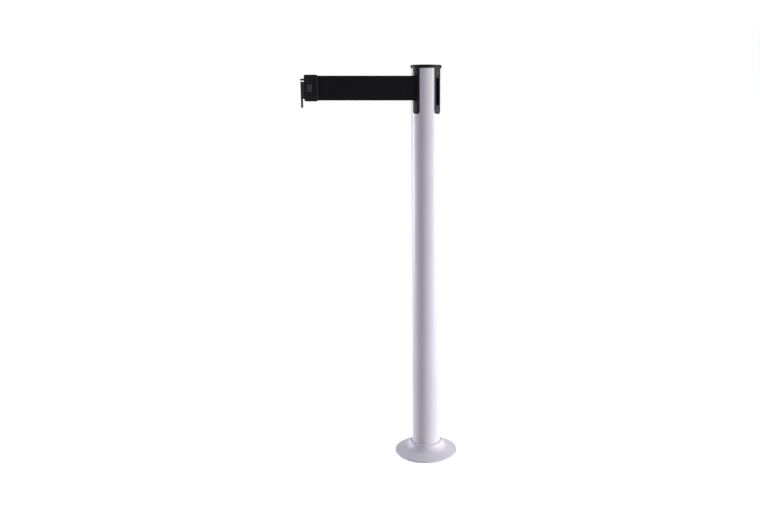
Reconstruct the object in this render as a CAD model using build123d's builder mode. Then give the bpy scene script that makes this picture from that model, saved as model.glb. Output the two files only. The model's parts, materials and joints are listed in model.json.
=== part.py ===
from build123d import *
import os
from math import acos, cos, degrees, pi, radians, sin, sqrt, tan

# Retractable belt stanchion for a fixed floor position: a tube on a floor flange, a bell
# cover over the flange, and a four-way belt head in the top of the tube.
# Millimetres, +Z up. The origin is where the tube's axis meets the floor. The head's four
# strips face +X, +Y, -X and -Y, and the belt leaves through the strip that faces -X.

# ---- overall sizes ----
overall_height = 864.0
tube_diameter = 63.5
tube_wall = 2.0
cover_diameter = 142.0

# ---- clearances ----
seat_gap = 0.1  # between pieces that are fixed to each other
run_gap = 0.05  # a shaft in its bush
slide_gap = 0.4  # between pieces that pass each other
thread_gap = 0.2  # a screw's shank in a plain hole
cut_over = 1.0  # how far a cut runs past the face that it opens

# ---- screw sockets ----
socket_share = 0.4  # a hexagon socket's radius, as a share of the screw head's
socket_depth_share = 0.8  # its depth, as a share of a countersunk head's height

# ---- floor flange, spigot and their screws ----
flange_inset = 8.5  # flange's edge inside the cover's rim
flange_thickness = 5.0
flange_chamfer = 1.0
anchor_pcd = 88.0
anchor_hole_radius = 4.5
anchor_count = 4
spigot_height = 60.0
spigot_floor = 10.0
spigot_bore_radius = 23.0
spigot_chamfer = 1.5
spigot_screw_pcd = 34.0
spigot_screw_radius = 3.0
spigot_screw_head_radius = 6.0
spigot_screw_length = 15.0
spigot_screw_count = 3
tube_screw_height = 17.0
tube_screw_radius = 2.5
tube_screw_reach = 8.0
tube_screw_head_radius = 4.6
tube_screw_head_top_radius = 3.2
tube_screw_head_height = 2.6
tube_screw_socket_depth = 1.5
tube_screw_count = 3

# ---- bell cover ----
cover_wall = 1.5
cover_floor_gap = 0.3
cover_rim_height = 3.0
cover_shoulder_radius = 2.4
cover_slope_top = 20.5
collar_margin = 4.75  # collar outside the tube
collar_top = 26.0
collar_edge_radius = 1.6
cover_foot_fillet = 5.0
cover_flare_width = 7.5  # the skirt turns up this far outside the collar
cover_flare_top = 12.5
cover_flare_fillet = 12.0
grip_ring_height = 2.0
grip_ring_gap = 0.1

# ---- belt ----
belt_width = 50.0
belt_thickness = 0.5
belt_length = 2300.0
belt_layer = 0.45  # thickness of one turn pulled tight on the spool
belt_top_drop = 23.0  # belt's upper edge below the top of the cap
belt_turn = 49.0  # degrees from -X towards +Y
belt_outside = 202.0  # from the exit to the belt end

# ---- cap ----
cap_height = 7.5
cap_overhang = 0.85
cap_edge_radius = 2.2
cap_crown = 1.0
cap_spigot_depth = 1.0
cap_spigot_inset = 1.0  # spigot's edge inside the cassette's shell
cap_screw_radius = 2.0
cap_screw_head_radius = 4.2
cap_screw_length = 20.0

# ---- strips in the tube's slots ----
slot_width = 18.0
slot_below_belt = 27.5  # slot's bottom below the belt's lower edge
slot_corner_radius = 6.0
strip_proud = 0.75
strip_edge_radius = 0.5
strip_flange_width = 23.0
strip_back_wall = 2.0
strip_end_drop = 0.1
upper_screw_drop = 17.0  # below the top of the cap
lower_screw_rise = 6.5  # above the slot's bottom
strip_screw_radius = 1.5
strip_screw_head_radius = 2.8
strip_screw_sink = 0.4
strip_screw_bite = 2.2  # how far a screw's tip goes into the cassette's wall

# ---- receiver windows ----
window_width = 9.5
window_over_belt = 5.0  # window taller than the belt is wide
window_top_drop = 27.5  # below the top of the cap
window_corner_radius = 1.5
window_bezel = 1.3
window_bezel_depth = 0.8
cavity_width = 15.0
cavity_drop = 8.0  # below the window's sill
cavity_lip = 0.5  # cavity's front inside the tube's inner face

# ---- belt slit ----
slit_side_room = 1.5  # above and below the belt
slit_half_inner = 4.0
slit_half_mouth = 1.9
slit_half_flare = 3.4
slit_flare_depth = 1.4
exit_gap = 0.4  # the belt's bend stands this far outside the strip

# ---- cassette ----
shaft_radius = 3.0
hub_boss_wall = 3.0
bush_wall = 2.0
bush_length = 12.0
spool_core_radius = 8.0
spool_flange_thickness = 1.6
spool_flange_rim = 0.95  # flange beyond the fullest roll
spool_side_room = 1.4  # between the belt's edge and a flange
spool_end_gap = 0.7  # above and below the spool
lead_gap = 0.35  # between the roll and the belt that leaves it
shell_gap = 0.6  # between the spool's flanges and the shell
shell_wall = 1.4
shell_slit_width = 3.4
plate_thickness = 4.0
hub_height = 5.5
spring_room = 12.5
spring_wall = 0.8
case_gap = 0.3  # between the spring case and the shell
spring_cover_thickness = 0.8
spring_strip = 0.3
spring_pitch = 1.3
spring_inner_radius = 7.6
spring_edge_gap = 0.5
arbor_radius = 7.0
arbor_gap = 1.0
drum_radius = 19.0
drum_wall = 0.6
drum_height = 6.5
shoe_outer_gap = 1.2
shoe_depth = 3.8
shoe_height = 6.0
shoe_lift = 0.5
shoe_span = 130.0
shoe_heel_span = 9.0
brake_pin_radius = 1.25

# ---- belt end ----
end_length = 28.0
end_over_belt = 4.0  # belt end taller than the belt is wide
end_half_thickness = 6.0
end_wall = 1.5
end_corner_radius = 4.0
end_edge_radius = 1.4
end_slot_room = 0.4
belt_pin_radius = 1.6
belt_pin_inset = 7.0
grip_groove_width = 1.0
grip_groove_depth = 0.6
grip_groove_pitch = 2.6
grip_groove_count = 4
grip_groove_inset = 10.8  # from the belt end's top and bottom
end_screw_radius = 1.2
end_boss_wall = 1.2
end_screw_head_radius = 2.3
end_screw_inset = 19.0
end_screw_drop = 4.7  # from the belt end's top and bottom
end_screw_reach = 4.0  # past the belt end's middle
hook_neck_thickness = 3.0
hook_neck_lift = 3.0  # neck's lower edge above the belt's
hook_root_thickness = 2.4
hook_root_gap = 0.5
hook_side_room = 0.3  # between the hook's plate and a window's side
hook_plate_thickness = 3.4
hook_toe_radius = 1.0
hook_wall_gap = 0.5
hook_bottom_drop = 5.5  # hook's toe below the window's sill
hook_top_room = 7.5  # above the hook, to lift it in
button_width = 9.4
button_height = 15.4
button_corner_radius = 1.0
button_edge_radius = 0.6
button_flange = 1.3
button_flange_thickness = 1.0
button_proud = 0.5
button_window_gap = 0.3
button_inset = 17.0
button_travel = 1.5
pawl_width = 4.0
pawl_lift = 2.0  # pawl above the hook
pawl_thickness = 1.6
pawl_tooth = 1.7
pawl_tooth_length = 3.0
button_spring_radius = 2.2
button_spring_wire = 0.5
button_spring_pitch = 1.25

# ---- worked out: base and post ----
cover_radius = cover_diameter / 2
flange_radius = cover_radius - cover_wall - flange_inset
tube_radius = tube_diameter / 2
tube_inner = tube_radius - tube_wall
tube_top = overall_height - cap_height
spigot_radius = tube_inner - seat_gap
collar_radius = tube_radius + collar_margin
flare_radius = collar_radius + cover_flare_width

# ---- worked out: belt and spool ----
belt_top = overall_height - belt_top_drop
belt_middle = belt_top - belt_width / 2
belt_bottom = belt_top - belt_width
slot_bottom = belt_bottom - slot_below_belt
nose_radius = tube_radius + strip_proud
pivot_radius = nose_radius + exit_gap
roll_full_radius = sqrt(spool_core_radius**2 + belt_length * belt_layer / pi)
belt_wound = belt_length - belt_outside - pivot_radius
roll_radius = sqrt(spool_core_radius**2 + belt_wound * belt_layer / pi)
lead_radius = roll_radius + lead_gap + belt_thickness / 2
lead_length = sqrt(pivot_radius**2 - lead_radius**2)
lead_angle = 90 - degrees(acos(lead_radius / pivot_radius))
flange_spool_radius = roll_full_radius + spool_flange_rim
shell_inner = flange_spool_radius + shell_gap
shell_outer = shell_inner + shell_wall

# ---- worked out: cassette levels, from the bottom up ----
spool_low = belt_bottom - spool_side_room - spool_flange_thickness
spool_high = belt_top + spool_side_room + spool_flange_thickness
spring_cover_top = spool_low - spool_end_gap
spring_cover_bottom = spring_cover_top - spring_cover_thickness
spring_floor = spring_cover_bottom - spring_room
hub_top = spring_floor - spring_wall
hub_boss_radius = shaft_radius + hub_boss_wall
plate_bottom = hub_top - hub_height - plate_thickness
cassette_roof = overall_height - cap_height - cap_spigot_depth
roof_bottom = cassette_roof - plate_thickness
shoe_bottom = spool_high + shoe_lift
drum_bottom = roof_bottom - drum_height

# ---- worked out: strips ----
strip_screw_length = nose_radius - strip_screw_sink - shell_outer + strip_screw_bite
strip_back = shell_outer + seat_gap
plate_radius = tube_inner - seat_gap
strip_bottom = slot_bottom + strip_end_drop
strip_top = tube_top - strip_end_drop
strip_screw_heights = (slot_bottom + lower_screw_rise, overall_height - upper_screw_drop)
cavity_back = strip_back + strip_back_wall
cavity_front = tube_inner - cavity_lip
window_height = belt_width + window_over_belt
window_top = overall_height - window_top_drop
window_bottom = window_top - window_height

# ---- worked out: belt end, along the belt from the exit ----
end_near = belt_outside
end_far = end_near + end_length
end_middle = end_near + end_length / 2
end_height = belt_width + end_over_belt
end_screw_spread = end_height / 2 - end_screw_drop
pocket_far = end_far - end_wall
pocket_half = end_half_thickness - end_wall
belt_pin_place = end_near + belt_pin_inset
button_place = end_near + button_inset
hook_neck_length = nose_radius - cavity_front + hook_wall_gap
hook_plate_width = window_width - 2 * hook_side_room
hook_toe = window_bottom - hook_bottom_drop
hook_top = window_top - hook_top_room
neck_bottom = belt_bottom + hook_neck_lift
pawl_bottom = hook_top + pawl_lift
pawl_end = end_far + hook_neck_length + hook_plate_thickness
flange_front = pocket_half - end_slot_room
flange_back = flange_front - button_flange_thickness
pawl_back = flange_front - pawl_thickness

SIDES = {"side": 0, "back": 90, "guide": 180, "front": 270}


def outward(angle, height=0.0, reach=0.0):
    """Vertical plane that faces away from the tube's axis: x runs across it, y is up."""
    a = radians(angle)
    return Plane(
        origin=(reach * cos(a), reach * sin(a), height),
        x_dir=(-sin(a), cos(a), 0),
        z_dir=(cos(a), sin(a), 0),
    )


def plan(angle, height):
    """Level plane whose x axis points away from the tube's axis at this angle."""
    a = radians(angle)
    return Plane(origin=(0, 0, height), x_dir=(cos(a), sin(a), 0), z_dir=(0, 0, 1))


belt_angle = 180 - belt_turn
belt_way = (cos(radians(belt_angle)), sin(radians(belt_angle)), 0)
belt_face = (-belt_way[1], belt_way[0], 0)
exit_point = (-pivot_radius, 0)


def belt_plan(height):
    """Level plane at the exit: x runs out along the belt, y towards its front face."""
    return Plane(origin=(*exit_point, height), x_dir=belt_way, z_dir=(0, 0, 1))


def belt_side(depth=0.0):
    """Upright plane along the belt: x runs out along it, y is up, depth is to the front."""
    place = (exit_point[0] + belt_face[0] * depth, exit_point[1] + belt_face[1] * depth, 0)
    return Plane(origin=place, x_dir=belt_way, z_dir=(-belt_face[0], -belt_face[1], 0))


def lead_plan(height):
    """Level plane at the exit: x runs back along the belt to the spool."""
    way = (cos(radians(lead_angle)), -sin(radians(lead_angle)), 0)
    return Plane(origin=(*exit_point, height), x_dir=way, z_dir=(0, 0, 1))


def save(piece, label):
    """Label a finished piece and write it to its own file."""
    piece.part.label = label
    export_step(piece.part, f"parts/{label}.step")


def ring(outer, inner, bottom, top):
    """Add a plain ring about the tube's axis to the piece being made."""
    with BuildSketch(Plane.XY.offset(bottom)) as section:
        Circle(outer)
        if inner > 0:
            Circle(inner, mode=Mode.SUBTRACT)
    extrude(section.sketch, amount=top - bottom)


def countersunk(place, radius, head_radius, length):
    """Add a countersunk screw whose head's face lies on this plane."""
    with Locations(place):
        Cylinder(radius, length, align=(Align.CENTER, Align.CENTER, Align.MAX))
        Cone(radius, head_radius, head_radius - radius, align=(Align.CENTER, Align.CENTER, Align.MAX))
    with BuildSketch(place) as section:
        RegularPolygon(head_radius * socket_share, 6)
    socket_depth = (head_radius - radius) * socket_depth_share
    extrude(section.sketch, amount=-socket_depth, mode=Mode.SUBTRACT)


def spigot_screw_faces(height):
    """Planes that face down at the flange's three spigot screws."""
    faces_down = []
    for index in range(spigot_screw_count):
        turn = radians(index * 360 / spigot_screw_count)
        middle = (spigot_screw_pcd / 2 * cos(turn), spigot_screw_pcd / 2 * sin(turn), height)
        faces_down.append(Plane(origin=middle, x_dir=(1, 0, 0), z_dir=(0, 0, -1)))
    return faces_down


os.makedirs("parts", exist_ok=True)

# ---- floor flange ----
with BuildPart() as floor_flange:
    ring(flange_radius, 0, 0, flange_thickness)
    chamfer(floor_flange.edges().group_by(Axis.Z)[-1], flange_chamfer)
    with Locations(Plane.XY.offset(flange_thickness)):
        with PolarLocations(anchor_pcd / 2, anchor_count, start_angle=45):
            Hole(anchor_hole_radius)
    with Locations(*spigot_screw_faces(0)):
        CounterSinkHole(spigot_screw_radius, spigot_screw_head_radius, flange_thickness)
save(floor_flange, "floor_flange")

# ---- post spigot ----
with BuildPart() as post_spigot:
    ring(spigot_radius, 0, flange_thickness, flange_thickness + spigot_height)
    with BuildSketch(Plane.XY.offset(flange_thickness + spigot_floor)):
        Circle(spigot_bore_radius)
    extrude(amount=spigot_height, mode=Mode.SUBTRACT)
    chamfer(post_spigot.edges().group_by(Axis.Z)[-1].sort_by(SortBy.LENGTH)[-1], spigot_chamfer)
    with Locations(*spigot_screw_faces(flange_thickness)):
        Hole(spigot_screw_radius, spigot_floor)
    for index in range(tube_screw_count):
        across = outward(90 + index * 360 / tube_screw_count, tube_screw_height, tube_radius)
        with Locations(across):
            Hole(tube_screw_radius, tube_radius - spigot_bore_radius)
save(post_spigot, "post_spigot")

# ---- screws from the flange up into the spigot ----
with BuildPart() as spigot_screws:
    for head_face in spigot_screw_faces(0):
        countersunk(head_face, spigot_screw_radius, spigot_screw_head_radius, spigot_screw_length)
save(spigot_screws, "spigot_screws")

# ---- screws through the tube's foot into the spigot ----
with BuildPart() as tube_screws:
    for index in range(tube_screw_count):
        seat = outward(90 + index * 360 / tube_screw_count, tube_screw_height, tube_radius)
        with Locations(seat):
            Cylinder(tube_screw_radius, tube_screw_reach, align=(Align.CENTER, Align.CENTER, Align.MAX))
            Cone(
                tube_screw_head_radius,
                tube_screw_head_top_radius,
                tube_screw_head_height,
                align=(Align.CENTER, Align.CENTER, Align.MIN),
            )
        with BuildSketch(seat.offset(tube_screw_head_height)):
            RegularPolygon(tube_screw_head_radius * socket_share, 6)
        extrude(amount=-tube_screw_socket_depth, mode=Mode.SUBTRACT)
save(tube_screws, "tube_screws")

# ---- post tube ----
with BuildPart() as post_tube:
    ring(tube_radius, tube_inner, flange_thickness, tube_top)
    for angle in SIDES.values():
        with BuildSketch(outward(angle)):
            with Locations((0, slot_bottom)):
                Rectangle(slot_width, tube_top - slot_bottom + cut_over, align=(Align.CENTER, Align.MIN))
            fillet(vertices().group_by(Axis.Y)[0], slot_corner_radius)
        extrude(amount=tube_diameter, mode=Mode.SUBTRACT)
    for index in range(tube_screw_count):
        across = outward(90 + index * 360 / tube_screw_count, tube_screw_height, tube_radius)
        with Locations(across):
            Hole(tube_screw_radius + thread_gap, tube_wall * 2)
save(post_tube, "post_tube")

# ---- bell cover: rim, shallow skirt, rise and collar, of one thickness ----
cover_bore = tube_radius + slide_gap
rim_top = cover_floor_gap + cover_rim_height
with BuildPart() as base_cover:
    with BuildSketch(Plane.XZ):
        with BuildLine():
            outside = Polyline(
                (cover_radius, cover_floor_gap),
                (cover_radius, rim_top),
                (flare_radius, cover_flare_top),
                (collar_radius, cover_slope_top),
                (collar_radius, collar_top),
                (cover_bore, collar_top),
            )
            inside = Polyline(
                (cover_bore, collar_top - cover_wall),
                (collar_radius - cover_wall, collar_top - cover_wall),
                (collar_radius - cover_wall, cover_slope_top - cover_wall / 2),
                (flare_radius - cover_wall / 2, cover_flare_top - cover_wall),
                (cover_radius - cover_wall, rim_top - cover_wall / 2),
                (cover_radius - cover_wall, cover_floor_gap),
            )
            Line(outside @ 1, inside @ 0)
            Line(inside @ 1, outside @ 0)
        make_face()
        corners = vertices()
        fillet(corners.sort_by_distance((cover_radius, rim_top))[0], cover_shoulder_radius)
        fillet(vertices().sort_by_distance((collar_radius, collar_top))[0], collar_edge_radius)
        fillet(vertices().sort_by_distance((collar_radius, cover_slope_top))[0], cover_foot_fillet)
        fillet(vertices().sort_by_distance((flare_radius, cover_flare_top))[0], cover_flare_fillet)
    revolve(axis=Axis.Z)
save(base_cover, "base_cover")

# ---- rubber ring under the collar's lip ----
with BuildPart() as cover_grip_ring:
    ring_top = collar_top - cover_wall
    ring(collar_radius - cover_wall, tube_radius + grip_ring_gap, ring_top - grip_ring_height, ring_top)
save(cover_grip_ring, "cover_grip_ring")

# ---- cap ----
cap_radius = tube_radius + cap_overhang
cap_edge_top = overall_height - cap_crown
with BuildPart() as top_cap:
    with BuildSketch(Plane.XZ):
        with BuildLine():
            Polyline((0, overall_height), (0, tube_top), (cap_radius, tube_top), (cap_radius, cap_edge_top))
            ThreePointArc(
                (cap_radius, cap_edge_top),
                (cap_radius / 2, overall_height - cap_crown / 4),
                (0, overall_height),
            )
        make_face()
        fillet(vertices().sort_by_distance((cap_radius, cap_edge_top))[0], cap_edge_radius)
    revolve(axis=Axis.Z)
    ring(shell_outer - cap_spigot_inset, 0, cassette_roof, tube_top)
    with Locations((0, 0, overall_height)):
        CounterSinkHole(cap_screw_radius + thread_gap, cap_screw_head_radius)
save(top_cap, "top_cap")

with BuildPart() as cap_screw:
    head_face = Plane.XY.offset(overall_height)
    countersunk(head_face, cap_screw_radius, cap_screw_head_radius - thread_gap, cap_screw_length)
save(cap_screw, "cap_screw")


# ---- strips ----
def strip_blank(angle):
    """Nose that fills a slot of the tube, and a wider flange behind the tube's wall."""
    with BuildSketch(outward(angle)) as section:
        with Locations((0, strip_bottom)):
            Rectangle(slot_width - 2 * seat_gap, strip_top - strip_bottom, align=(Align.CENTER, Align.MIN))
        fillet(vertices().group_by(Axis.Y)[0], slot_corner_radius - seat_gap)
    extrude(section.sketch, amount=nose_radius + cut_over)
    with BuildSketch(Plane.XY.offset(strip_bottom)) as section:
        Circle(nose_radius)
        Circle(cavity_back, mode=Mode.SUBTRACT)
    extrude(section.sketch, amount=strip_top - strip_bottom, mode=Mode.INTERSECT)
    outer_face = faces().filter_by(lambda f: f.geom_type == GeomType.CYLINDER).sort_by(SortBy.AREA)[-1]
    fillet(outer_face.edges(), strip_edge_radius)
    with BuildSketch(plan(angle, strip_bottom)) as section:
        with Locations((strip_back, 0)):
            Rectangle(tube_radius, strip_flange_width, align=(Align.MIN, Align.CENTER))
        Circle(plate_radius, mode=Mode.INTERSECT)
    extrude(section.sketch, amount=strip_top - strip_bottom)
    for height in strip_screw_heights:
        with Locations(outward(angle, height, nose_radius)):
            CounterBoreHole(
                strip_screw_radius,
                strip_screw_head_radius + seat_gap,
                strip_screw_sink + strip_screw_head_radius - strip_screw_radius,
            )


def receiver_window(angle):
    """Window for a neighbour's belt end, with a wider cavity behind it and below its sill."""
    window_middle = window_bottom + window_height / 2
    with BuildSketch(outward(angle, window_middle, cavity_front)) as section:
        RectangleRounded(window_width, window_height, window_corner_radius)
    extrude(section.sketch, amount=nose_radius, mode=Mode.SUBTRACT)
    with BuildSketch(outward(angle, window_middle, nose_radius - window_bezel_depth)) as section:
        RectangleRounded(
            window_width + 2 * window_bezel,
            window_height + 2 * window_bezel,
            window_corner_radius + window_bezel,
        )
    extrude(section.sketch, amount=nose_radius, mode=Mode.SUBTRACT)
    with BuildSketch(outward(angle, window_bottom - cavity_drop, cavity_back)) as section:
        Rectangle(cavity_width, window_height + cavity_drop, align=(Align.CENTER, Align.MIN))
    extrude(section.sketch, amount=cavity_front - cavity_back, mode=Mode.SUBTRACT)


for side in ("front", "side", "back"):
    with BuildPart() as receiver:
        strip_blank(SIDES[side])
        receiver_window(SIDES[side])
    save(receiver, f"receiver_{side}")

lead_slope = tan(radians(lead_angle))


def slit_side(way):
    """One side of the slit in plan: it widens towards the spool and flares at its mouth."""
    points = []
    for reach, half in (
        (strip_back - cut_over, slit_half_inner),
        (nose_radius - slit_flare_depth, slit_half_mouth),
        (nose_radius + cut_over, slit_half_flare),
    ):
        points.append((reach, (pivot_radius - reach) * lead_slope + way * half))
    return points


with BuildPart() as belt_guide:
    strip_blank(SIDES["guide"])
    with BuildSketch(plan(SIDES["guide"], belt_bottom - slit_side_room)):
        with BuildLine():
            Polyline(*slit_side(-1), *reversed(slit_side(1)), close=True)
        make_face()
    extrude(amount=belt_width + 2 * slit_side_room, mode=Mode.SUBTRACT)
save(belt_guide, "belt_guide")

with BuildPart() as strip_screws:
    for angle in SIDES.values():
        for height in strip_screw_heights:
            head_face = outward(angle, height, nose_radius - strip_screw_sink)
            countersunk(head_face, strip_screw_radius, strip_screw_head_radius, strip_screw_length)
save(strip_screws, "strip_screws")


# ---- cassette frame ----
def strip_notches(bottom, top):
    """Cut room for the four strips out of a plate of the cassette."""
    for angle in SIDES.values():
        with BuildSketch(plan(angle, bottom)) as section:
            with Locations((strip_back - seat_gap, 0)):
                Rectangle(tube_radius, strip_flange_width + 2 * seat_gap, align=(Align.MIN, Align.CENTER))
        extrude(section.sketch, amount=top - bottom, mode=Mode.SUBTRACT)


def strip_screw_holes(height):
    """Holes for the strips' screws in the cassette's hub or its roof."""
    for angle in SIDES.values():
        with Locations(outward(angle, height, nose_radius - strip_screw_sink)):
            Hole(strip_screw_radius, strip_screw_length)


with BuildPart() as cassette_base:
    ring(plate_radius, 0, plate_bottom, plate_bottom + plate_thickness)
    strip_notches(plate_bottom, plate_bottom + plate_thickness)
    ring(shell_outer, 0, plate_bottom + plate_thickness, hub_top)
    ring(hub_boss_radius, 0, hub_top, spring_floor)
    with Locations((0, 0, hub_top)):
        Hole(shaft_radius)
    strip_screw_holes(strip_screw_heights[0])
save(cassette_base, "cassette_base")

with BuildPart() as cassette_top:
    ring(plate_radius, 0, roof_bottom, cassette_roof)
    strip_notches(roof_bottom, cassette_roof)
    ring(shell_outer, drum_radius + drum_wall, drum_bottom, roof_bottom)
    with Locations((0, 0, cassette_roof)):
        Hole(shaft_radius)
    strip_screw_holes(strip_screw_heights[1])
save(cassette_top, "cassette_top")

with BuildPart() as cassette_shell:
    ring(shell_outer, shell_inner, hub_top, drum_bottom)
    with BuildSketch(lead_plan(belt_bottom - slit_side_room)):
        Rectangle(lead_length, shell_slit_width, align=(Align.MIN, Align.CENTER))
    extrude(amount=belt_width + 2 * slit_side_room, mode=Mode.SUBTRACT)
save(cassette_shell, "cassette_shell")

with BuildPart() as spool_shaft:
    ring(shaft_radius, 0, plate_bottom, cassette_roof)
    with Locations((0, 0, cassette_roof)):
        Hole(cap_screw_radius, cap_screw_length)
save(spool_shaft, "spool_shaft")

# ---- spool and what turns with it ----
bush_outer = shaft_radius + run_gap + bush_wall
arbor_bottom = spring_floor + spring_edge_gap
spool_boss_top = roof_bottom - spool_end_gap
with BuildPart() as spool:
    ring(flange_spool_radius, 0, spool_low, spool_low + spool_flange_thickness)
    ring(flange_spool_radius, 0, spool_high - spool_flange_thickness, spool_high)
    ring(spool_core_radius, 0, spool_low, spool_boss_top)
    ring(arbor_radius, 0, arbor_bottom, spool_low)
    with Locations((0, 0, spool_boss_top)):
        Hole(bush_outer)
    with Locations((0, 0, spool_high)):
        with PolarLocations(drum_radius - shoe_outer_gap - shoe_depth / 2, 2):
            Hole(brake_pin_radius, spool_flange_thickness)
save(spool, "spool")

for label, bottom in (("lower_bush", arbor_bottom), ("upper_bush", spool_boss_top - bush_length)):
    with BuildPart() as bush:
        ring(bush_outer, shaft_radius + run_gap, bottom, bottom + bush_length)
    save(bush, label)

with BuildPart() as belt_roll:
    ring(roll_radius, spool_core_radius, belt_bottom, belt_top)
save(belt_roll, "belt_roll")

with BuildPart() as belt_lead:
    with BuildSketch(lead_plan(belt_bottom)):
        with Locations((exit_gap, 0)):
            Rectangle(lead_length - exit_gap, belt_thickness, align=(Align.MIN, Align.CENTER))
    extrude(amount=belt_width)
save(belt_lead, "belt_lead")

# ---- clock spring and its case ----
case_radius = shell_inner - case_gap
with BuildPart() as spring_case:
    ring(case_radius, hub_boss_radius, hub_top, spring_floor)
    ring(case_radius, case_radius - spring_wall, spring_floor, spring_cover_bottom)
save(spring_case, "spring_case")

with BuildPart() as spring_cover:
    ring(case_radius, arbor_radius + arbor_gap, spring_cover_bottom, spring_cover_top)
save(spring_cover, "spring_cover")

half_turns = int((case_radius - spring_wall - spring_inner_radius) / (spring_pitch / 2)) - 1
with BuildPart() as power_spring:
    with BuildSketch(Plane.XY.offset(spring_floor + spring_edge_gap)):
        for index in range(half_turns):
            middle = (spring_pitch / 4 if index % 2 else -spring_pitch / 4, 0)
            bend = spring_inner_radius + index * spring_pitch / 2
            start = 180 if index % 2 else 0
            with BuildLine():
                outer_edge = CenterArc(middle, bend + spring_strip / 2, start, 180)
                inner_edge = CenterArc(middle, bend - spring_strip / 2, start, 180)
                Line(outer_edge @ 0, inner_edge @ 0)
                Line(outer_edge @ 1, inner_edge @ 1)
            make_face()
    extrude(amount=spring_room - 2 * spring_edge_gap)
save(power_spring, "power_spring")

# ---- speed-limiting brake ----
with BuildPart() as brake_drum:
    ring(drum_radius + drum_wall, drum_radius, drum_bottom, roof_bottom)
save(brake_drum, "brake_drum")

shoe_outer = drum_radius - shoe_outer_gap
shoe_pivot = shoe_outer - shoe_depth / 2
for label, heel in (("brake_shoe_a", 0), ("brake_shoe_b", 180)):
    with BuildPart() as brake_shoe:
        first = heel - shoe_heel_span
        sweep_span = shoe_span + shoe_heel_span
        with BuildSketch(Plane.XY.offset(shoe_bottom)):
            with BuildLine():
                rim = CenterArc((0, 0), shoe_outer, first, sweep_span)
                back = CenterArc((0, 0), shoe_outer - shoe_depth, first, sweep_span)
                Line(rim @ 0, back @ 0)
                Line(rim @ 1, back @ 1)
            make_face()
            with PolarLocations(shoe_pivot, 1, start_angle=heel):
                Circle(brake_pin_radius + run_gap, mode=Mode.SUBTRACT)
        extrude(amount=shoe_height)
    save(brake_shoe, label)

with BuildPart() as brake_pins:
    with BuildSketch(Plane.XY.offset(spool_high - spool_flange_thickness)):
        with PolarLocations(shoe_pivot, 2):
            Circle(brake_pin_radius)
    extrude(amount=spool_flange_thickness + shoe_lift + shoe_height)
save(brake_pins, "brake_pins")

# ---- belt outside the post ----
with BuildPart() as belt_strip:
    with BuildSketch(belt_plan(belt_bottom)):
        with Locations((exit_gap, 0)):
            Rectangle(end_near - 2 * exit_gap, belt_thickness, align=(Align.MIN, Align.CENTER))
    extrude(amount=belt_width)
save(belt_strip, "belt_strip")

# ---- belt end: two shells round the belt's sewn tail ----
slot_half = belt_thickness / 2 + end_slot_room


def end_shell(way):
    """Half of the belt end, hollow towards the belt; way is 1 at the front, -1 at the back."""
    with BuildSketch(belt_side()) as section:
        with Locations((end_middle, belt_middle)):
            RectangleRounded(end_length, end_height, end_corner_radius)
    extrude(section.sketch, amount=-way * end_half_thickness)
    fillet(faces().sort_by(Axis((0, 0, 0), belt_face))[-1 if way > 0 else 0].edges(), end_edge_radius)
    with BuildSketch(belt_side()) as section:
        with Locations((end_middle, belt_middle)):
            RectangleRounded(
                end_length - 2 * end_wall,
                end_height - 2 * end_wall,
                end_corner_radius - end_wall,
            )
    extrude(section.sketch, amount=-way * pocket_half, mode=Mode.SUBTRACT)
    with BuildSketch(belt_side()) as section:
        with Locations((end_near - cut_over, belt_middle)):
            Rectangle(end_wall + 2 * cut_over, belt_width + 2 * end_slot_room, align=(Align.MIN, Align.CENTER))
    extrude(section.sketch, amount=-way * slot_half, mode=Mode.SUBTRACT)
    with BuildSketch(belt_side()) as section:
        with Locations((pocket_far - cut_over, neck_bottom)):
            Rectangle(end_wall + 2 * cut_over, hook_top - neck_bottom, align=(Align.MIN, Align.MIN))
    extrude(section.sketch, amount=-way * hook_neck_thickness / 2, mode=Mode.SUBTRACT)
    with BuildSketch(belt_side(way * end_half_thickness)) as section:
        with GridLocations(grip_groove_pitch, 1, grip_groove_count, 1):
            with Locations((end_near + belt_pin_inset, belt_middle)):
                SlotCenterToCenter(end_height - 2 * grip_groove_inset, grip_groove_width, rotation=90)
    extrude(section.sketch, amount=way * grip_groove_depth, mode=Mode.SUBTRACT)


screw_heights = (belt_middle - end_screw_spread, belt_middle + end_screw_spread)
with BuildPart() as belt_end_front:
    end_shell(1)
    with BuildSketch(belt_side()):
        with Locations((button_place, belt_middle)):
            Rectangle(button_width + 2 * button_window_gap, button_height + 2 * button_window_gap)
    extrude(amount=-end_half_thickness, mode=Mode.SUBTRACT)
    with BuildSketch(belt_side(pawl_back - button_travel - end_slot_room)):
        with Locations((pocket_far - cut_over, pawl_bottom - end_slot_room)):
            Rectangle(end_wall + 2 * cut_over, pawl_width + 2 * end_slot_room, align=(Align.MIN, Align.MIN))
    extrude(amount=-(pocket_half - pawl_back + button_travel + end_slot_room), mode=Mode.SUBTRACT)
    with BuildSketch(belt_side()):
        for height in screw_heights:
            with Locations((end_near + end_screw_inset, height)):
                Circle(end_screw_radius + end_boss_wall)
    extrude(amount=-(pocket_half + end_wall / 2))
    with BuildSketch(belt_side()):
        for height in screw_heights:
            with Locations((end_near + end_screw_inset, height)):
                Circle(end_screw_radius)
    extrude(amount=-pocket_half, mode=Mode.SUBTRACT)
save(belt_end_front, "belt_end_front")

with BuildPart() as belt_end_back:
    end_shell(-1)
    with BuildSketch(belt_side()):
        for height in screw_heights:
            with Locations((end_near + end_screw_inset, height)):
                Circle(end_screw_radius + end_boss_wall)
    extrude(amount=pocket_half + end_wall / 2)
    for height in screw_heights:
        with Locations(belt_side(-end_half_thickness)):
            with Locations((end_near + end_screw_inset, height)):
                CounterSinkHole(end_screw_radius, end_screw_head_radius, end_half_thickness)
save(belt_end_back, "belt_end_back")

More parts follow.
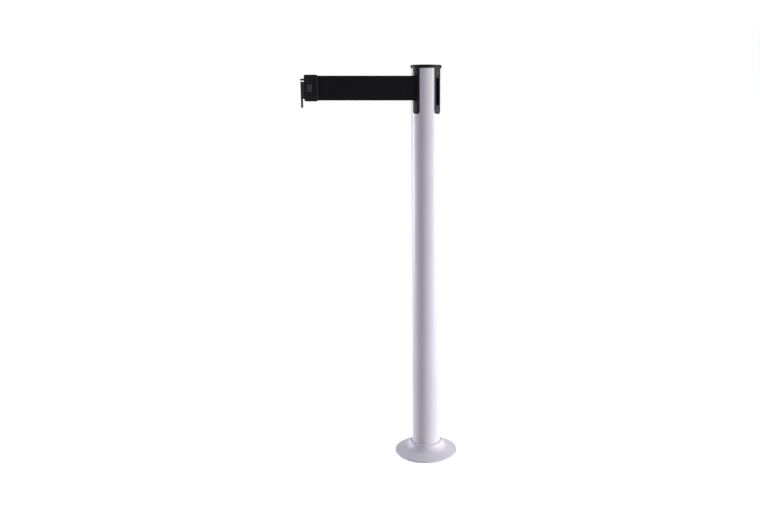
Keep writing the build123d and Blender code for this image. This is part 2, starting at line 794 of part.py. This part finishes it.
with BuildPart() as belt_end_screws:
    for height in screw_heights:
        face = belt_side(-end_half_thickness)
        middle = face.from_local_coords((end_near + end_screw_inset, height, 0))
        head_face = Plane(origin=middle, x_dir=belt_way, z_dir=face.z_dir)
        screw_length = end_half_thickness + end_screw_reach
        countersunk(head_face, end_screw_radius, end_screw_head_radius, screw_length)
save(belt_end_screws, "belt_end_screws")

with BuildPart() as belt_tail:
    loop_radius = belt_pin_radius + belt_thickness
    with BuildSketch(belt_plan(belt_bottom)):
        with Locations((end_near, 0)):
            Rectangle(belt_pin_inset, belt_thickness, align=(Align.MIN, Align.CENTER))
        with Locations((belt_pin_place, 0)):
            Circle(loop_radius)
            Circle(belt_pin_radius, mode=Mode.SUBTRACT)
    extrude(amount=belt_width)
save(belt_tail, "belt_tail")

with BuildPart() as belt_pin:
    with BuildSketch(belt_plan(belt_bottom - end_slot_room)):
        with Locations((belt_pin_place, 0)):
            Circle(belt_pin_radius)
    extrude(amount=belt_width + 2 * end_slot_room)
save(belt_pin, "belt_pin")

with BuildPart() as belt_hook:
    with BuildSketch(belt_plan(neck_bottom)):
        with Locations((pocket_far, 0)):
            Rectangle(
                hook_root_thickness,
                2 * (pocket_half - hook_root_gap),
                align=(Align.MAX, Align.CENTER),
            )
            Rectangle(
                end_wall + hook_neck_length,
                hook_neck_thickness - 2 * seat_gap,
                align=(Align.MIN, Align.CENTER),
            )
    extrude(amount=hook_top - neck_bottom - seat_gap)
    with BuildSketch(belt_plan(hook_toe)):
        with Locations((end_far + hook_neck_length, 0)):
            Rectangle(hook_plate_thickness, hook_plate_width, align=(Align.MIN, Align.CENTER))
    extrude(amount=hook_top - hook_toe)
    fillet(belt_hook.edges().group_by(Axis.Z)[0], hook_toe_radius)
save(belt_hook, "belt_hook")

# ---- release button with its pawl, and the spring behind it ----
with BuildPart() as release_button:
    with BuildSketch(belt_side(flange_back)):
        with Locations((button_place, belt_middle)):
            Rectangle(button_width, button_height)
            fillet(vertices(), button_corner_radius)
    extrude(amount=-(end_half_thickness + button_proud - flange_back))
    fillet(faces().sort_by(Axis((0, 0, 0), belt_face))[-1].edges(), button_edge_radius)
    with BuildSketch(belt_side(flange_back)):
        with Locations((button_place, belt_middle)):
            Rectangle(button_width + 2 * button_flange, button_height + 2 * button_flange)
        with Locations((button_place, belt_middle)):
            Rectangle(pawl_width, pawl_bottom + pawl_width - belt_middle, align=(Align.CENTER, Align.MIN))
    extrude(amount=-button_flange_thickness)
    with BuildSketch(belt_side(pawl_back)):
        with Locations((button_place - pawl_width / 2, pawl_bottom)):
            Rectangle(pawl_end - button_place + pawl_width / 2, pawl_width, align=(Align.MIN, Align.MIN))
    extrude(amount=-pawl_thickness)
    with BuildSketch(belt_side(flange_front)):
        with Locations((pawl_end, pawl_bottom)):
            Rectangle(pawl_tooth_length, pawl_width, align=(Align.MAX, Align.MIN))
    extrude(amount=-pawl_tooth)
save(release_button, "release_button")

spring_base = -pocket_half + button_spring_wire / 2
spring_turn_height = flange_back - button_spring_wire / 2 - seat_gap - spring_base
with BuildPart() as button_spring:
    coil_base = belt_side(spring_base).from_local_coords((button_place, belt_middle, 0))
    with BuildLine():
        coil = Helix(
            button_spring_pitch,
            spring_turn_height,
            button_spring_radius,
            center=coil_base,
            direction=belt_face,
        )
    with BuildSketch(Plane(origin=coil @ 0, z_dir=coil % 0)):
        Circle(button_spring_wire / 2)
    sweep()
save(button_spring, "button_spring")

pull_ratio = 2000 / (roll_radius + roll_full_radius)
print(f"exit at x {-pivot_radius:.2f}, belt way {belt_way[0]:.5f} {belt_way[1]:.5f}")
print(f"roll {roll_radius:.2f} to {roll_full_radius:.2f}, lead angle {lead_angle:.2f}")
print(f"turns of the spool, radians per metre of belt {pull_ratio:.3f}")
print(f"shoe pivot radius {shoe_pivot:.3f}, window {window_bottom:.2f} to {window_top:.2f}")
print(f"cavity from {cavity_back:.2f} to {cavity_front:.2f}, nose {nose_radius:.2f}")
print(f"hook toe {hook_toe:.2f}, outermost along the belt {pawl_end:.2f}")
print(f"button spring from {spring_base:.2f}, lead {lead_length:.3f} long")
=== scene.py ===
import json
import math

import bpy
from mathutils import Matrix, Vector


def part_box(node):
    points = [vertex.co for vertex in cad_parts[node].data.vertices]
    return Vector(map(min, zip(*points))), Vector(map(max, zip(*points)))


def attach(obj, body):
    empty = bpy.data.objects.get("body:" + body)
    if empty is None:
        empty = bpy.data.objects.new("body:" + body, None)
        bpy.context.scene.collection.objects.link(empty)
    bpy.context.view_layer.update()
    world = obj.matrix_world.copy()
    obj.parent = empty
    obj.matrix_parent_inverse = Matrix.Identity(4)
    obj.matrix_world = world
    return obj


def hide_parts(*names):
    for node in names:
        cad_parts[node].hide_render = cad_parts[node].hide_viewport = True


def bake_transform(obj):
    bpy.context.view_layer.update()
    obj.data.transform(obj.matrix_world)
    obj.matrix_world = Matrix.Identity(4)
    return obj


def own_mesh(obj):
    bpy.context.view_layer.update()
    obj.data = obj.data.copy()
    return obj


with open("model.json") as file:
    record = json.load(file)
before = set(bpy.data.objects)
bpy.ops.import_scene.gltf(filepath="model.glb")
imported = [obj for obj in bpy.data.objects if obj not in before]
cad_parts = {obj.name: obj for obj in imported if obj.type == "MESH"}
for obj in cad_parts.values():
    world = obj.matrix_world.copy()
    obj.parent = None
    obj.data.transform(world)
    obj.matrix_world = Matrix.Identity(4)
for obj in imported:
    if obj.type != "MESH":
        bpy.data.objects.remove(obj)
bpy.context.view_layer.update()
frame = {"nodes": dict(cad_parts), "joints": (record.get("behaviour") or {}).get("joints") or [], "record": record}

NODES = frame["nodes"]
JOINTS = {joint["name"]: joint for joint in frame["joints"]}
MM = 0.001


# ---- places, from the frame ----
belt_low, belt_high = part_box("belt_strip")
belt_middle = (belt_low.z + belt_high.z) / 2
exit_point = Vector(JOINTS["belt_swing"]["pos_m"])
belt_way = -Vector(JOINTS["belt_pull"]["axis"]).normalized()
belt_face = Vector((0, 0, 1)).cross(belt_way)
belt_end_near = (Vector((belt_low.x, belt_high.y, belt_middle)) - exit_point).dot(belt_way)


# ---- camera, lights and stage ----
VIEW_AZIMUTH = math.radians(-49)
CAMERA_DISTANCE = 1.705
CAMERA_HEIGHT = 0.806
CAMERA_PITCH = math.radians(12.29)
LENS = 37.6
SIDE_SHIFT = -0.0606
FILL_LEVEL = 0.37
FILL_ABOVE = 0.16
LIGHT_AIM_HEIGHT = 0.45
FLOOR_HALF = 30.0
FLOOR_DROP = 0.4 * MM  # below the base, so the two never share a plane
FLOOR_GLOW = 0.86

toward_camera = Vector((math.sin(VIEW_AZIMUTH), -math.cos(VIEW_AZIMUTH), 0))
view_right = Vector((math.cos(VIEW_AZIMUTH), math.sin(VIEW_AZIMUTH), 0))


def aim(obj, place, target):
    """Put an object at a place with its -Z axis towards a target."""
    obj.location = place
    obj.rotation_mode = "QUATERNION"
    obj.rotation_quaternion = (target - place).to_track_quat("-Z", "Y")


def add_camera():
    data = bpy.data.cameras.new("camera")
    data.lens = LENS
    data.sensor_width = 36
    data.shift_x = SIDE_SHIFT
    camera = bpy.data.objects.new("camera", data)
    bpy.context.scene.collection.objects.link(camera)
    place = toward_camera * CAMERA_DISTANCE + Vector((0, 0, CAMERA_HEIGHT))
    ahead = -toward_camera * math.cos(CAMERA_PITCH) - Vector((0, 0, math.sin(CAMERA_PITCH)))
    aim(camera, place, place + ahead)
    bpy.context.scene.camera = camera


def add_light(name, turn, distance, height, size, power, colour):
    """Soft area light, turned from the camera's side towards the right of the view."""
    data = bpy.data.lights.new(name, "AREA")
    data.shape = "RECTANGLE"
    data.size, data.size_y = size
    data.energy = power
    data.color = colour
    lamp = bpy.data.objects.new(name, data)
    bpy.context.scene.collection.objects.link(lamp)
    angle = math.radians(turn)
    place = (toward_camera * math.cos(angle) + view_right * math.sin(angle)) * distance
    place.z = height
    aim(lamp, place, Vector((0, 0, LIGHT_AIM_HEIGHT)))


def add_world():
    """Studio fill, dimmer from above: the light on the object is dimmer than the white that is seen."""
    world = bpy.data.worlds.new("studio")
    world.use_nodes = True
    tree = world.node_tree
    tree.nodes.clear()
    output = tree.nodes.new("ShaderNodeOutputWorld")
    fill = tree.nodes.new("ShaderNodeBackground")
    fill.inputs["Color"].default_value = (0.93, 0.90, 1.0, 1)
    way = tree.nodes.new("ShaderNodeTexCoord")
    split = tree.nodes.new("ShaderNodeSeparateXYZ")
    fade = tree.nodes.new("ShaderNodeMapRange")
    fade.inputs["To Min"].default_value = FILL_LEVEL
    fade.inputs["To Max"].default_value = FILL_ABOVE
    tree.links.new(way.outputs["Generated"], split.inputs[0])
    tree.links.new(split.outputs["Z"], fade.inputs["Value"])
    tree.links.new(fade.outputs[0], fill.inputs["Strength"])
    seen = tree.nodes.new("ShaderNodeBackground")
    seen.inputs["Color"].default_value = (1.0, 1.0, 1.0, 1)
    seen.inputs["Strength"].default_value = 1.0
    path = tree.nodes.new("ShaderNodeLightPath")
    mix = tree.nodes.new("ShaderNodeMixShader")
    tree.links.new(path.outputs["Is Camera Ray"], mix.inputs[0])
    tree.links.new(fill.outputs[0], mix.inputs[1])
    tree.links.new(seen.outputs[0], mix.inputs[2])
    tree.links.new(mix.outputs[0], output.inputs[0])
    bpy.context.scene.world = world


def add_floor():
    """Plain pale floor, which glows and doesn't light the object diffusely."""
    corners = [(x * FLOOR_HALF, y * FLOOR_HALF, 0) for x, y in ((-1, -1), (1, -1), (1, 1), (-1, 1))]
    mesh = bpy.data.meshes.new("floor")
    mesh.from_pydata(corners, [], [(0, 1, 2, 3)])
    floor = bpy.data.objects.new("floor", mesh)
    bpy.context.scene.collection.objects.link(floor)
    floor.location.z = -FLOOR_DROP
    material = bpy.data.materials.new("floor_paper")
    material.use_nodes = True
    shader = material.node_tree.nodes["Principled BSDF"]
    shader.inputs["Base Color"].default_value = (0.82, 0.82, 0.82, 1)
    shader.inputs["Roughness"].default_value = 0.9
    shader.inputs["Emission Color"].default_value = (1, 1, 1, 1)
    shader.inputs["Emission Strength"].default_value = FLOOR_GLOW
    mesh.materials.append(material)
    floor.visible_diffuse = False


# ---- material building ----
class Shader:
    """A principled material with helpers for its procedural nodes."""

    def __init__(self, name, metallic=0.0, coat=0.0, coat_roughness=0.1, specular=0.5):
        self.material = bpy.data.materials.new(name)
        self.material.use_nodes = True
        self.tree = self.material.node_tree
        self.main = self.tree.nodes["Principled BSDF"]
        self.main.inputs["Metallic"].default_value = metallic
        self.main.inputs["Coat Weight"].default_value = coat
        self.main.inputs["Coat Roughness"].default_value = coat_roughness
        self.main.inputs["Specular IOR Level"].default_value = specular
        self.place = self.tree.nodes.new("ShaderNodeTexCoord").outputs["Object"]

    def link(self, source, target):
        self.tree.links.new(source, target)

    def stretched(self, scale, turn=(0, 0, 0)):
        mapping = self.tree.nodes.new("ShaderNodeMapping")
        mapping.inputs["Scale"].default_value = scale
        mapping.inputs["Rotation"].default_value = turn
        self.link(self.place, mapping.inputs["Vector"])
        return mapping.outputs[0]

    def noise(self, scale, detail=3.0, roughness=0.5, place=None):
        node = self.tree.nodes.new("ShaderNodeTexNoise")
        node.inputs["Scale"].default_value = scale
        node.inputs["Detail"].default_value = detail
        node.inputs["Roughness"].default_value = roughness
        self.link(place or self.place, node.inputs["Vector"])
        return node.outputs[0]

    def cells(self, scale):
        node = self.tree.nodes.new("ShaderNodeTexVoronoi")
        node.inputs["Scale"].default_value = scale
        self.link(self.place, node.inputs["Vector"])
        return node.outputs[0]

    def waves(self, scale, place, direction):
        node = self.tree.nodes.new("ShaderNodeTexWave")
        node.wave_profile = "SIN"
        node.bands_direction = direction
        node.inputs["Scale"].default_value = scale
        self.link(place, node.inputs["Vector"])
        return node.outputs[1]

    def ramp(self, value, stops):
        node = self.tree.nodes.new("ShaderNodeValToRGB")
        points = node.color_ramp.elements
        while len(points) < len(stops):
            points.new(0.5)
        for point, (position, colour) in zip(points, stops):
            point.position = position
            point.color = (*colour, 1)
        self.link(value, node.inputs[0])
        return node.outputs[0]

    def span(self, value, low, high, out_low, out_high):
        node = self.tree.nodes.new("ShaderNodeMapRange")
        node.inputs["From Min"].default_value = low
        node.inputs["From Max"].default_value = high
        node.inputs["To Min"].default_value = out_low
        node.inputs["To Max"].default_value = out_high
        self.link(value, node.inputs["Value"])
        return node.outputs[0]

    def math(self, operation, a, b):
        node = self.tree.nodes.new("ShaderNodeMath")
        node.operation = operation
        for socket, value in zip(node.inputs, (a, b)):
            if isinstance(value, (int, float)):
                socket.default_value = value
            else:
                self.link(value, socket)
        return node.outputs[0]

    def mix(self, share, a, b):
        node = self.tree.nodes.new("ShaderNodeMix")
        node.data_type = "RGBA"
        for socket, value in zip((node.inputs[0], node.inputs[6], node.inputs[7]), (share, a, b)):
            if isinstance(value, (int, float)):
                socket.default_value = value
            elif isinstance(value, tuple):
                socket.default_value = (*value, 1)
            else:
                self.link(value, socket)
        return node.outputs[2]

    def axis(self, name):
        node = self.tree.nodes.new("ShaderNodeSeparateXYZ")
        self.link(self.place, node.inputs[0])
        return node.outputs[name]

    def colour(self, value):
        self.link(value, self.main.inputs["Base Color"])

    def rough(self, value):
        self.link(value, self.main.inputs["Roughness"])

    def bump(self, height, distance, strength):
        node = self.tree.nodes.new("ShaderNodeBump")
        node.inputs["Strength"].default_value = strength
        node.inputs["Distance"].default_value = distance
        self.link(height, node.inputs["Height"])
        self.link(node.outputs[0], self.main.inputs["Normal"])


def powder_coat():
    """White powder coat: faint orange peel, slow colour drift, and scuffs near the floor."""
    s = Shader("white_powder_coat", coat=0.2, coat_roughness=0.28, specular=0.4)
    drift = s.ramp(s.noise(9, 2), [(0.3, (0.80, 0.79, 0.86)), (0.7, (0.84, 0.83, 0.895))])
    height = s.axis("Z")
    low = s.span(height, 0.0, 0.16, 1.0, 0.0)
    scuff = s.math("GREATER_THAN", s.noise(210, 5, 0.7, s.stretched((1, 1, 0.25))), 0.66)
    share = s.math("MULTIPLY", s.math("MULTIPLY", scuff, low), 0.30)
    s.colour(s.mix(share, drift, (0.42, 0.41, 0.43)))
    peel = s.noise(620, 2, 0.4)
    s.rough(s.span(s.noise(34, 3), 0.3, 0.7, 0.36, 0.46))
    s.bump(peel, 0.00006, 0.5)
    return s.material


def moulded_black():
    """Black moulded nylon with a fine spark-eroded grain, a little paler where it is rubbed."""
    s = Shader("black_moulded_nylon", specular=0.14)
    tone = s.ramp(s.noise(40, 4), [(0.3, (0.007, 0.007, 0.008)), (0.75, (0.013, 0.013, 0.0145))])
    rub = s.span(s.noise(160, 6, 0.65, s.stretched((1, 1, 0.5))), 0.62, 0.75, 0.0, 0.35)
    s.colour(s.mix(rub, tone, (0.028, 0.028, 0.030)))
    s.rough(s.span(s.noise(90, 3), 0.3, 0.7, 0.40, 0.55))
    s.bump(s.cells(2600), 0.00003, 0.45)
    return s.material


def gloss_black():
    """Smoother black plastic for the button and hook, which slide."""
    s = Shader("black_polished_nylon", specular=0.5)
    s.colour(s.ramp(s.noise(60, 3), [(0.3, (0.014, 0.014, 0.016)), (0.7, (0.022, 0.022, 0.024))]))
    s.rough(s.span(s.noise(300, 4, 0.6, s.stretched((1, 1, 0.2))), 0.3, 0.7, 0.22, 0.36))
    s.bump(s.noise(900, 2), 0.00002, 0.3)
    return s.material


METAL_SPREAD = 0.12


def metal(name, tone, rough_low, rough_high, grain, metallic=1.0):
    """Bare or plated metal: grain is a scale for each axis, long where it is small."""
    s = Shader(name, metallic=metallic)
    dark = tuple(c * (1 - METAL_SPREAD) for c in tone)
    light = tuple(min(1.0, c * (1 + METAL_SPREAD)) for c in tone)
    lay = s.noise(60, 6, 0.65, s.stretched(grain))
    s.colour(s.ramp(lay, [(0.25, dark), (0.75, light)]))
    s.rough(s.span(lay, 0.25, 0.75, rough_low, rough_high))
    s.bump(lay, 0.00003, 0.4)
    return s.material


def moulded(name, tone, rough_low=0.4, rough_high=0.55, grain=1800, specular=0.4):
    """Plain moulded plastic, rubber or lining, mottled, with a fine grain."""
    s = Shader(name, specular=specular)
    dark = tuple(c * 0.86 for c in tone)
    light = tuple(min(1.0, c * 1.1) for c in tone)
    s.colour(s.ramp(s.noise(70, 4), [(0.3, dark), (0.7, light)]))
    s.rough(s.span(s.noise(120, 3), 0.3, 0.7, rough_low, rough_high))
    s.bump(s.cells(grain), 0.00004, 0.5)
    return s.material


def webbing():
    """Black polyester webbing: fine ribs along the belt, crossed by the weft."""
    s = Shader("black_webbing", specular=0.1)
    s.main.inputs["Sheen Weight"].default_value = 0.12
    s.main.inputs["Sheen Roughness"].default_value = 0.4
    s.main.inputs["Sheen Tint"].default_value = (0.5, 0.5, 0.55, 1)
    turn = math.atan2(belt_way.y, belt_way.x)
    flat = s.stretched((1, 1, 1), (0, 0, -turn))
    warp = s.waves(170, flat, "Z")
    weft = s.waves(260, flat, "X")
    weave = s.math("MULTIPLY", warp, weft)
    fibre = s.noise(1500, 4, 0.7, flat)
    tone = s.mix(weave, (0.0045, 0.0045, 0.0052), (0.011, 0.011, 0.0125))
    s.colour(s.mix(s.span(fibre, 0.55, 0.8, 0.0, 0.5), tone, (0.018, 0.018, 0.020)))
    s.rough(s.span(fibre, 0.3, 0.7, 0.62, 0.85))
    s.bump(s.math("ADD", weave, s.math("MULTIPLY", fibre, 0.35)), 0.00012, 0.8)
    return s.material


MATERIALS = {
    "white_paint": powder_coat(),
    "black_plastic": moulded_black(),
    "webbing": webbing(),
    "zinc_steel": metal("zinc_plated_steel", (0.60, 0.61, 0.63), 0.30, 0.46, (1, 1, 1)),
    "bright_steel": metal("ground_steel", (0.66, 0.66, 0.68), 0.16, 0.30, (1, 1, 14)),
    "spring_steel": metal("blued_spring_steel", (0.26, 0.29, 0.36), 0.24, 0.36, (1, 1, 10)),
    "black_screws": metal("black_oxide_steel", (0.035, 0.035, 0.04), 0.30, 0.45, (3, 3, 3), 0.8),
    "cast_aluminium": metal("turned_aluminium", (0.70, 0.71, 0.73), 0.26, 0.42, (1, 1, 20)),
    "pale_plastic": moulded("natural_acetal", (0.74, 0.73, 0.68)),
    "bush_plastic": moulded("filled_bush_plastic", (0.46, 0.36, 0.20), 0.3, 0.45),
    "brake_lining": moulded("brake_lining", (0.16, 0.10, 0.07), 0.6, 0.8, 900),
    "grey_rubber": moulded("grey_rubber", (0.20, 0.20, 0.21), 0.6, 0.8, 1200, 0.3),
}
SLIDING = gloss_black()


def paint_nodes():
    """Give each CAD node the material of its slot."""
    for part in frame["record"]["subparts"]:
        node = NODES[part["node"]]
        node.data.materials.clear()
        node.data.materials.append(MATERIALS[part["material_slot"]])
    for name in ("release_button", "belt_hook"):
        NODES[name].data.materials[0] = SLIDING


# ---- belt ----
def make_object(name, vertices, faces, material):
    mesh = bpy.data.meshes.new(name)
    mesh.from_pydata([tuple(v) for v in vertices], [], faces)
    mesh.update()
    for polygon in mesh.polygons:
        polygon.use_smooth = True
    mesh.materials.append(material)
    piece = bpy.data.objects.new(name, mesh)
    bpy.context.scene.collection.objects.link(piece)
    return piece


BELT_HALF = (belt_high.z - belt_low.z) / 2
WEBBING_HALF = 0.22 * MM
SELVEDGE = 1.6 * MM
SELVEDGE_RISE = 0.05 * MM
RIB_PITCH = 1.25 * MM
RIB_RISE = 0.035 * MM
STEPS_ACROSS = 72


def webbing_mesh(name, path):
    """Closed strip of webbing whose middle line follows path: (point, side, travel) for each step."""
    count = len(path)
    rows = []
    for way in (1, -1):
        for point, side, travel in path:
            row = []
            for index in range(STEPS_ACROSS + 1):
                across = -BELT_HALF + 2 * BELT_HALF * index / STEPS_ACROSS
                to_edge = BELT_HALF - abs(across)
                edge = max(0.0, 1 - to_edge / SELVEDGE)
                rib = math.cos(2 * math.pi * (abs(across) + travel * 0.5) / RIB_PITCH)
                round_off = math.sqrt(max(0.0, 1 - edge**6))
                half = (WEBBING_HALF + SELVEDGE_RISE * edge + RIB_RISE * rib * (1 - edge)) * round_off
                row.append(point + side * half * way + Vector((0, 0, across)))
            rows.append(row)
    vertices = [v for row in rows for v in row]
    width = STEPS_ACROSS + 1
    faces = []
    for sheet in (0, 1):
        for i in range(count - 1):
            for j in range(STEPS_ACROSS):
                a = (sheet * count + i) * width + j
                quad = (a, a + 1, a + 1 + width, a + width)
                faces.append(quad if sheet else quad[::-1])
    for j in range(STEPS_ACROSS):
        for i, flip in ((0, False), (count - 1, True)):
            quad = (i * width + j, i * width + j + 1, (count + i) * width + j + 1, (count + i) * width + j)
            faces.append(quad if flip else quad[::-1])
    for i in range(count - 1):
        for j, flip in ((0, True), (STEPS_ACROSS, False)):
            a, b = i * width + j, (count + i) * width + j
            quad = (a, a + width, b + width, b)
            faces.append(quad if flip else quad[::-1])
    return make_object(name, vertices, faces, MATERIALS["webbing"])


STRIP_START = 2.2 * MM  # past the exit
STRIP_STEP = 0.9 * MM
LEAD_START = 0.3 * MM  # from the lead's end at the roll
LEAD_STEP = 1.2 * MM
BEND_RADIUS = 10 * MM
BEND_STEPS = 6
REST_STEPS = 4
JOIN_LAP = 0.4 * MM  # the bend runs this far past the strip's start


def straight(start, way, first, last, step):
    """Points every step or less along a straight stretch of belt."""
    count = max(1, math.ceil((last - first) / step))
    side = Vector((0, 0, 1)).cross(way)
    points = []
    for index in range(count + 1):
        travel = first + (last - first) * index / count
        points.append((start + way * travel, side, travel))
    return points


def add_belt():
    """The belt outside the post, and its bend at the exit."""
    path = straight(exit_point, belt_way, STRIP_START, belt_end_near, STRIP_STEP)
    strip = webbing_mesh("belt_webbing", path)
    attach(strip, "belt")
    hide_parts("belt_strip")
    anchor = exit_point + belt_way * STRIP_START
    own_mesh(strip)

    lead_low, lead_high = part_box("belt_lead")
    lead_far = Vector((lead_high.x, lead_low.y, belt_middle))
    lead_way = (exit_point - lead_far).normalized()
    lead_length = (exit_point - lead_far).length
    turn = math.acos(max(-1.0, min(1.0, lead_way.dot(belt_way))))
    lead_last = lead_length - BEND_RADIUS * math.tan(turn / 2)
    path = straight(exit_point - lead_way * lead_length, lead_way, LEAD_START, lead_last, LEAD_STEP)
    travel = path[-1][2]
    normal = Vector((0, 0, 1)).cross(lead_way)
    bend_sign = 1 if normal.dot(belt_way) > 0 else -1
    bend_start = path[-1][0]
    centre = bend_start + normal * BEND_RADIUS * bend_sign
    for index in range(1, BEND_STEPS + 1):
        swung = turn * index / BEND_STEPS
        arm = Matrix.Rotation(bend_sign * swung, 3, "Z") @ (bend_start - centre)
        way = Matrix.Rotation(bend_sign * swung, 3, "Z") @ lead_way
        path.append((centre + arm, Vector((0, 0, 1)).cross(way), travel + BEND_RADIUS * swung))
    bend_end, side, travel = path[-1]
    rest = (anchor - bend_end).dot(belt_way) + JOIN_LAP
    for index in range(1, REST_STEPS + 1):
        share = index / REST_STEPS
        path.append((bend_end + belt_way * rest * share, side, travel + rest * share))
    bend = webbing_mesh("belt_bend", path)
    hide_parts("belt_lead")
    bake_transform(bend)


# ---- button spring ----
BUTTON_PLACE = 219 * MM
COIL_BACK = -4.25 * MM
COIL_FRONT = 2.75 * MM
COIL_RADIUS = 2.2 * MM
COIL_PITCH = 1.25 * MM
COIL_WIRE = 0.25 * MM
COIL_STEPS = 28
COIL_SIDES = 10


def add_button_spring():
    """The button's spring: a fixed coil that rides the button."""
    middle = exit_point + belt_way * BUTTON_PLACE
    up = Vector((0, 0, 1))
    count = round((COIL_FRONT - COIL_BACK) / COIL_PITCH * COIL_STEPS)
    vertices = []
    for index in range(count + 1):
        angle = 2 * math.pi * index / COIL_STEPS
        arm = belt_way * math.cos(angle) + up * math.sin(angle)
        along = (up * math.cos(angle) - belt_way * math.sin(angle)) * COIL_RADIUS * 2 * math.pi
        along = (along + belt_face * COIL_PITCH).normalized()
        rise = COIL_BACK + (COIL_FRONT - COIL_BACK) * index / count
        centre = middle + belt_face * rise + arm * COIL_RADIUS
        across = along.cross(arm)
        for side in range(COIL_SIDES):
            turn = 2 * math.pi * side / COIL_SIDES
            vertices.append(centre + (arm * math.cos(turn) + across * math.sin(turn)) * COIL_WIRE)
    faces = []
    for index in range(count):
        for side in range(COIL_SIDES):
            a = index * COIL_SIDES + side
            b = index * COIL_SIDES + (side + 1) % COIL_SIDES
            faces.append((a, b, b + COIL_SIDES, a + COIL_SIDES))
    faces.append(tuple(reversed(range(COIL_SIDES))))
    faces.append(tuple(count * COIL_SIDES + side for side in range(COIL_SIDES)))
    coil = make_object("button_coil", vertices, faces, MATERIALS["spring_steel"])
    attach(coil, "button")
    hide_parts("button_spring")
    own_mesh(coil)


add_camera()
add_world()
add_floor()
add_light("key_right", 76, 2.6, 0.7, (1.2, 2.2), 78, (1.0, 0.99, 0.985))
add_light("edge_right", 108, 2.4, 0.7, (0.3, 2.0), 9, (1.0, 1.0, 1.0))
add_light("rim_left", -112, 2.4, 0.4, (0.9, 1.6), 48, (0.98, 0.98, 1.0))
bpy.context.scene.view_settings.view_transform = "Standard"
paint_nodes()
add_belt()
add_button_spring()
